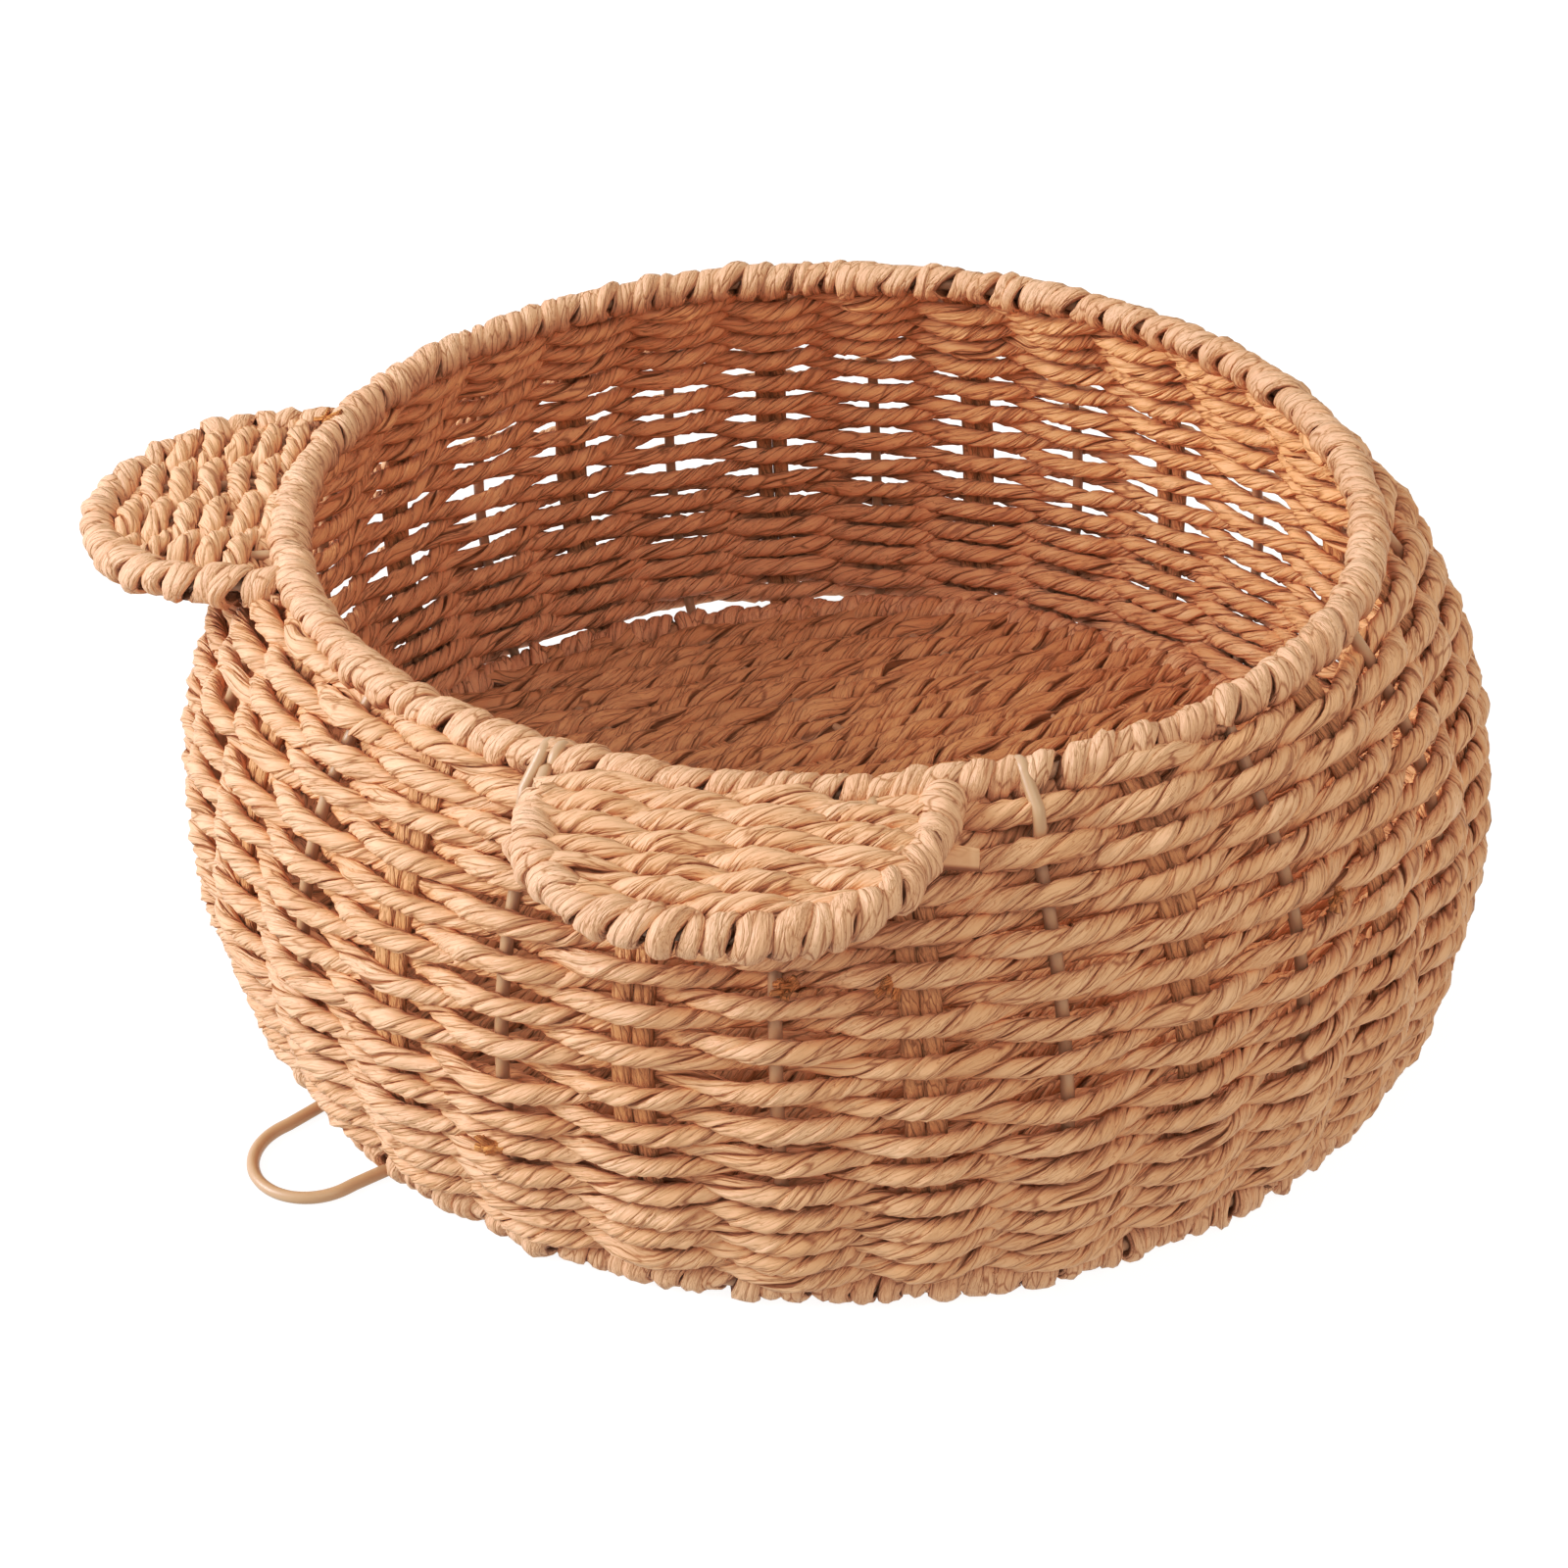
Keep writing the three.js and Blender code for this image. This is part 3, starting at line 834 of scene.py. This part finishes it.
def base_row(place, parity):
    """One row at a distance from the middle, over one cross stake and under the next."""
    half = math.sqrt(base_edge**2 - place**2)
    steps = max(8, int(2 * half / rope_step))
    along = np.linspace(-half, half, edge_steps)
    reach = base_reach(np.arctan2(along, place) - base_turn) - edge_gap
    rounding = 0.01 * mm
    along = along[np.hypot(along, place) <= reach + rounding]
    start, end = base_chance.normal((along[0], along[-1]), end_waver)
    along = np.linspace(start, end, steps)
    aside = place + row_waver * drift(base_chance, steps, 12)
    across_stakes = along * math.cos(base_turn) - aside * math.sin(base_turn)
    along_stakes = along * math.sin(base_turn) + aside * math.cos(base_turn)
    wave = np.cos(across_stakes * (math.pi / cross_spacing) + parity * math.pi)
    to_edge = np.minimum(along - along[0], along[-1] - along)
    lift = base_swing * wave * (1 + 0.08 * drift(base_chance, steps, 12))
    lift = lift + edge_rise * np.clip(1 - to_edge / edge_run, 0, 1)
    line = base_shift + np.stack([along_stakes, across_stakes, base_height + lift], axis=-1)
    size = base_rope_size * (1 + 0.04 * wave + 0.04 * drift(base_chance, steps, 16))
    return rope(line, (0, 0, 1), size, base_chance, base_lay)


row_count = int(2 * base_edge / base_row_pitch)
row_places = [(i - (row_count - 1) / 2) * base_row_pitch for i in range(row_count)]
base_rows = [base_row(place, i % 2) for i, place in enumerate(row_places)]
base_thirds = np.array_split(np.arange(row_count), 3)
for name, rows in zip(("left", "middle", "right"), base_thirds):
    plies = [ply for i in rows for ply in base_rows[i]]
    woven_piece(f"base_rope_{name}", plies, base_paper, ["base_weave"])

cross_pairs = []
cross_count = int(base_edge / cross_spacing)
for i in range(-cross_count, cross_count + 1):
    if i % stakes_per_wire != 0:
        line = across_base(i * cross_spacing, base_edge, cross_steps)
        cross_pairs += paper_pair(line, (0, 0, 1), cord_chance)
woven_piece("base_paper_pairs", cross_pairs, cord_paper, ["base_weave"])


# Base binding
# Creased paper is wound over the base ring all the way round in uneven knuckles, and holds
# the ends of the rows and the feet of the stakes.

turn_steps = 18
wrap_sides = 14
wrap_thick = 3.7 * mm
wrap_square = 2.1
slide_waver = 3 * mm
reach_waver = 1.8 * mm
least_width, most_width, gap_width = 0.65, 1.45, 1.7
taper_turns = 3
# The third colour is the painted shade in folds and grooves.
wrap_paper = paper("wound_paper", (0.79, 0.50, 0.335), (0.69, 0.395, 0.25), (0.27, 0.10, 0.04),
                   1.5 * mm, (0.38, 0.56))


def wound(guide, outward, turns, core, rng, slant, unevenness, closed=False, gaps=(), crossing=0.0,
          taper=0.0, cover=0.97):
    """A soft strand wound round a guide line: from its outward side over the top and back below.

    Turns differ in width, slant and reach, lean together in pairs on the inward side as far as
    crossing says, and grow thinner to both ends by the taper. Those numbered in gaps leave the
    guide bare beside them, and the rest cover it, or overlap.
    """
    widths = np.clip(rng.normal(1, unevenness, turns), least_width, most_width)
    steps = turns * turn_steps + 1
    turn = np.linspace(0, turns, steps)
    wide = np.interp(turn, np.arange(turns) + 0.5, widths)
    for number in gaps:
        widths[number % turns] = gap_width
    ends = np.concatenate([[0], np.cumsum(widths)])
    if closed:
        guide = np.concatenate([guide, guide[:1]])
        outward = np.concatenate([outward, outward[:1]])
    guide_travel = travel_along(guide)
    length = guide_travel[-1]
    pitch = length / ends[-1]
    swing = turn * 2 * math.pi
    pairs = np.interp(turn, np.arange(turns) + 0.5, (-1.0)**np.arange(turns))
    slide = slant + crossing * pairs + slide_waver * unevenness * drift(rng, steps, turn_steps)
    place = np.interp(turn, np.arange(turns + 1), ends) * pitch - slide * np.cos(swing)
    if closed:
        place = place % length
    middle = np.stack([np.interp(place, guide_travel, guide[:, i]) for i in range(3)], axis=-1)
    out = unit(np.stack([np.interp(place, guide_travel, outward[:, i]) for i in range(3)], axis=-1))
    away = np.cos(swing)[:, None] * out + np.sin(swing)[:, None] * np.array([0, 0, 1.0])
    slim = 1 - taper * np.clip(1 - np.minimum(turn, turns - turn) / taper_turns, 0, 1)
    reach = core * slim + reach_waver * unevenness * drift(rng, steps, turn_steps * 0.9)
    line = middle + away * reach[:, None]
    wide = wide * pitch * cover * (1 + 0.08 * drift(rng, steps, 6))
    bulk = wrap_thick * slim * (1 + 0.18 * drift(rng, steps, 8))
    uneven = 1 + 0.10 * drift(rng, steps, 3, wrap_sides)
    return strand(line, away, bulk, wide, wrap_sides, uneven, wrap_square, fibre_squeeze=0.3,
                  fibre_start=rng.uniform(0, 1, 3), tone=drift(rng, steps, turn_steps * 0.7))


base_wrap = 8.9 * mm
base_wrap_out = -0.7 * mm
base_wrap_width = 4.8 * mm
base_wrap_chance = np.random.default_rng(31)
base_turns = round(2 * math.pi * base_radius / base_wrap_width)
base_binding = wound(
    base_guide + round_basket * base_wrap_out, round_basket, base_turns, (base_wrap - wrap_thick) / 2,
    base_wrap_chance, slant=1.2 * mm, unevenness=0.3, closed=True, cover=1.05)
woven_piece("base_wrap", [base_binding], wrap_paper, ["base_binding"])


# Wall weavers
# Two long paper ropes chase each other up the wall. At every stake one goes round the outside
# and the other round the inside, and they change over before the next stake.

weaver_turns = 14
row_spacing = (3.0, 3.15, 4.25, 4.2, 3.4)
first_row = 1.2 * mm
last_row = wall_length - 3.2 * mm
weave_swing = 3.2 * mm
climb_waver = 0.4 * mm
rope_fullness = 0.80
fuller_at_stakes = 0.10
fuller_top = 0.13
top_from, top_over = 0.65, 0.25
fuller_foot = 0.10
foot_below, foot_over = 0.3, 0.15


def height_share(rows):
    """How far up the wall a row lies, from the row spacing at five levels from base to rim."""
    share = np.linspace(0, 1, 200)
    climb = np.cumsum(np.interp(share, np.linspace(0, 1, len(row_spacing)), row_spacing))
    return np.interp(rows / (2 * weaver_turns + 1), share, (climb - climb[0]) / (climb[-1] - climb[0]))


def weaver(number, rng):
    """The line of one weaver from the base to the rim, its outward way and its fullness."""
    steps = int(weaver_turns * 2 * math.pi * belly_radius / rope_step)
    hidden_start = (1 - number) * stake_spacing / 2
    angle = hidden_start + np.linspace(0, weaver_turns * 2 * math.pi, steps)
    per_stake = steps / (weaver_turns * stake_count * 2)
    share = height_share(number + (angle - hidden_start) / math.pi)
    travel = first_row + (last_row - first_row) * share
    travel = travel + climb_waver * drift(rng, steps, per_stake * 1.3)
    wave = np.cos(angle * stake_count) * (1 - 2 * number)
    swing = weave_swing * wave * (1 + 0.1 * drift(rng, steps, per_stake))
    line, outward = wall_at(travel, angle, swing)
    size = rope_fullness + fuller_at_stakes * np.abs(wave) + 0.03 * drift(rng, steps, per_stake * 2)
    size = size + fuller_top * np.clip((share - top_from) / top_over, 0, 1)
    size = size + fuller_foot * np.clip((foot_below - share) / foot_over, 0, 1)
    return line, outward, size


def cut_lengths(plies, count):
    """The plies of a long rope, cut into a number of lengths that meet end to end."""
    steps = len(plies[0]["rings"])
    cuts = np.linspace(0, steps - 1, count + 1).astype(int)
    keys = ("rings", "fibres", "depth", "tone")
    return [
        [{**ply, **{key: ply[key][start:end + 1] for key in keys}} for ply in plies]
        for start, end in zip(cuts[:-1], cuts[1:])]


for number, letter in enumerate("ab"):
    weaver_chance = np.random.default_rng(41 + number)
    line, outward, size = weaver(number, weaver_chance)
    lengths = cut_lengths(rope(line, outward, size, weaver_chance), 3)
    for level, plies in zip(("low", "middle", "top"), lengths):
        woven_piece(f"weaver_{letter}_{level}", plies, rope_paper, [f"weaver_{letter}"])


# Rim binding
# The same paper is wound round the rim ring in fat knuckles, which lean together in pairs. It
# leaves the ring bare beside the two stakes that are hooked over it.

rim_wrap = 8.9 * mm
rim_wrap_width = 5.5 * mm
rim_chance = np.random.default_rng(53)
rim_turns = round(2 * math.pi * rim_radius / rim_wrap_width)
rim_gaps = [round(stake * rim_turns / stake_count) for stake in hooked_stakes]
rim_binding = wound(
    rim_guide, unit(rim_guide * (1, 1, 0)), rim_turns, (rim_wrap - wrap_thick) / 2, rim_chance,
    slant=1.4 * mm, unevenness=0.22, closed=True, gaps=rim_gaps, crossing=0.9 * mm, cover=0.96)
woven_piece("rim_wrap", [rim_binding], wrap_paper, ["rim_binding"])


# Ear weaves
# Short rows of the same rope fill each ear, over and under its four ribs, packed side by side
# from the rim out to the arc.

ear_row_pitch = 3.3 * mm
ear_swing = 1.7 * mm
ear_first_row = rim_radius + 4.8 * mm
ear_last_row = ear_tip - 5.0 * mm
ear_rope_size = 0.93
ear_row_waver = 0.25 * mm
shared_waver = 0.8 * mm
loose_steps = 8
loose_out = 11 * mm
loose_drop = 4 * mm
loose_wide, loose_thick = 5.5 * mm, 1.1 * mm


def ear_row(side, out, parity, waver, rng):
    """One row of an ear, parallel to the rim side, at a distance from the basket's axis."""
    half = float(ear_width(side, out))
    steps = max(8, int(2 * half / rope_step))
    aside = np.linspace(-half, half, steps)
    wave = np.sin(aside * (math.pi / rib_spacing)) * (1 - 2 * parity)
    lift = ear_swing * wave * (1 + 0.1 * drift(rng, steps, 8))
    shared = np.interp(aside, np.linspace(-ear_half, ear_half, len(waver)), waver)
    line = on_ear(side, out + shared + ear_row_waver * drift(rng, steps, 9), aside, lift)
    size = ear_rope_size + 0.08 * wave + 0.03 * drift(rng, steps, 12)
    return rope(line, (0, 0, 1), size, rng)


def loose_end(side, rng):
    """The cut end of an ear's last rope, pressed flat, where it stands out past the arc."""
    aside = np.linspace(0.85, 1.22, loose_steps) * ear_half
    line = on_ear(side, rim_radius + loose_out, aside, -loose_drop)
    uneven = 1 + 0.05 * drift(rng, loose_steps, 3, ply_sides)
    return strand(line, (0, 0, 1), loose_wide, loose_thick, ply_sides, uneven, square=3.0,
                  fibre_start=rng.uniform(0, 1, 3))


for side in ears:
    ear_chance = np.random.default_rng({"left": 61, "right": 62}[side])
    waver = shared_waver * drift(ear_chance, 120, 24)
    count = int((ear_last_row - ear_first_row) / ear_row_pitch) + 1
    plies = []
    for i in range(count):
        plies += ear_row(side, ear_first_row + i * ear_row_pitch, i % 2, waver, ear_chance)
    if side == "right":
        plies.append(loose_end(side, ear_chance))
    woven_piece(f"ear_rope_{side}", plies, rope_paper, [f"ear_weave_{side}"])


# Ear bindings
# Paper is wound round each ear's arc in the fattest knuckles, which cross in pairs. It starts
# and ends at the rim, and holds the rows' ends to the wire.

ear_wrap = 9.4 * mm
ear_wrap_width = 5.6 * mm
bare_points = {"left": 0, "right": 7}
ear_tuck = 1.5 * mm
tuck_run = 16 * mm

for side in ears:
    knuckle_chance = np.random.default_rng({"left": 71, "right": 72}[side])
    guide = ear_arc(side, rim_radius + 1 * mm, 80)[bare_points[side]:]
    travel = travel_along(guide)
    guide[:, 2] -= ear_tuck * np.clip(1 - np.minimum(travel, travel[-1] - travel) / tuck_run, 0, 1)
    outward = unit((guide - on_ear(side, ear_centre, 0.0)) * (1, 1, 0))
    turns = round(travel[-1] / ear_wrap_width)
    knuckles = wound(guide, outward, turns, (ear_wrap - wrap_thick) / 2, knuckle_chance,
                     slant=0.5 * mm, unevenness=0.36, crossing=2.0 * mm, taper=0.15)
    woven_piece(f"ear_wrap_{side}", [knuckles], wrap_paper, [f"ear_binding_{side}"])


# Frayed ends
# Where one length of rope ends and the next begins, a short tuft of torn rust-coloured paper
# sticks out of the weave.

tuft_strips = 9
strip_steps = 8
strip_sides = 8
strip_thick = 0.9 * mm

# Each tuft on the wall by its angle round the basket in degrees, its height and its radius in mm

tuft_places = [(268.1, 103.6, 124.5), (315.9, 81.7, 141.5), (324.1, 82.4, 141.2), (292.0, 34.7, 149.5),
               (3.0, 75.4, 144.7)]
# The third colour is the painted shade in folds and grooves.
torn_paper = paper("torn_paper", (0.80, 0.40, 0.17), (0.66, 0.28, 0.10), (0.28, 0.09, 0.03), 0.6 * mm,
                   (0.9, 1.0))


def tuft(place, outward, along, rng):
    """Short crumpled strips that turn out of the weave round a point."""
    aloft = np.cross(outward, along)
    strips = []
    for i in range(tuft_strips):
        out, run, rise = rng.normal((0.5, 0.8, 0), (0.2, 0.3, 0.35))
        way = unit(outward * out + along * run + aloft * rise)
        start = place + (along * rng.normal(-0.8, 0.5) + aloft * rng.normal(0, 0.5)) * mm
        share = np.linspace(-0.5, 1, strip_steps)[:, None]
        curl = rng.normal(0, 0.35, 3)
        line = start + (way * share + curl * share**2) * (rng.uniform(1.8, 3.4) * mm)
        uneven = 1 + 0.2 * drift(rng, strip_steps, 2, strip_sides)
        strips.append(strand(
            line, outward, strip_thick, rng.uniform(1.3, 2.2) * mm, strip_sides, uneven,
            fibre_start=rng.uniform(0, 1, 3), tone=rng.normal()))
    return strips


tuft_chance = np.random.default_rng(83)
tufts = []
for degrees, height, radius in tuft_places:
    angle = math.radians(degrees)
    outward = np.array([math.cos(angle), math.sin(angle), 0])
    along = np.array([math.sin(angle), -math.cos(angle), 0])
    tufts += tuft(outward * radius * mm + (0, 0, height * mm), outward, along, tuft_chance)
ear_joint = on_ear("left", rim_radius - 1 * mm, 4 * mm - ear_half, ear_wrap / 2 - 2 * mm)
tufts += tuft(ear_joint, np.array([0, 0, 1.0]), np.array([1.0, 0, 0]), tuft_chance)
woven_piece("frayed_ends", tufts, torn_paper, ["weaver_a"])
